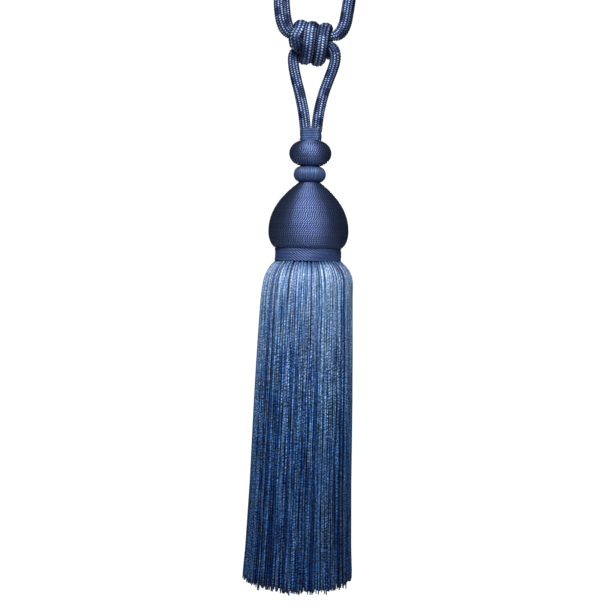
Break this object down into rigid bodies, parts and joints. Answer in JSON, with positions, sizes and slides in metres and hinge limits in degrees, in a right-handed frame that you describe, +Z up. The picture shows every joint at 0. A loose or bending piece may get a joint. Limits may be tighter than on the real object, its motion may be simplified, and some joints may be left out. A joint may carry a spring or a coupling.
{
  "type": "curtain tieback tassel",
  "caption": "Curtain tieback tassel of navy and blue yarn: rope loop, coiled knot, neck, ball, ring, bell head, braid band and a long shaded skirt.",
  "frame": {"origin": "the point on the hook that the rope loop hangs over, at the underside of the loop's top", "axes": "+Z up along the hanging tassel, +X to the right across the rope loop, +Y away from the front"},
  "size_m": [0.0709, 0.0712, 0.4147],
  "materials": {
    "navy_rope": "braided satin rope",
    "navy_yarn": "wound satin yarn",
    "ring_yarn": "wrapped satin yarn",
    "skirt_yarn": "cut twisted yarn, light blue above and navy at the hem"
  },
  "bodies": {
    "root": {"embrace_front": "navy_rope", "embrace_back": "navy_rope", "hanger_cord": "navy_rope", "neck_binding": "navy_yarn", "ball": "navy_yarn", "ring": "ring_yarn", "head": "navy_yarn", "band": "navy_yarn", "skirt": "skirt_yarn"}
  },
  "joints": []
}
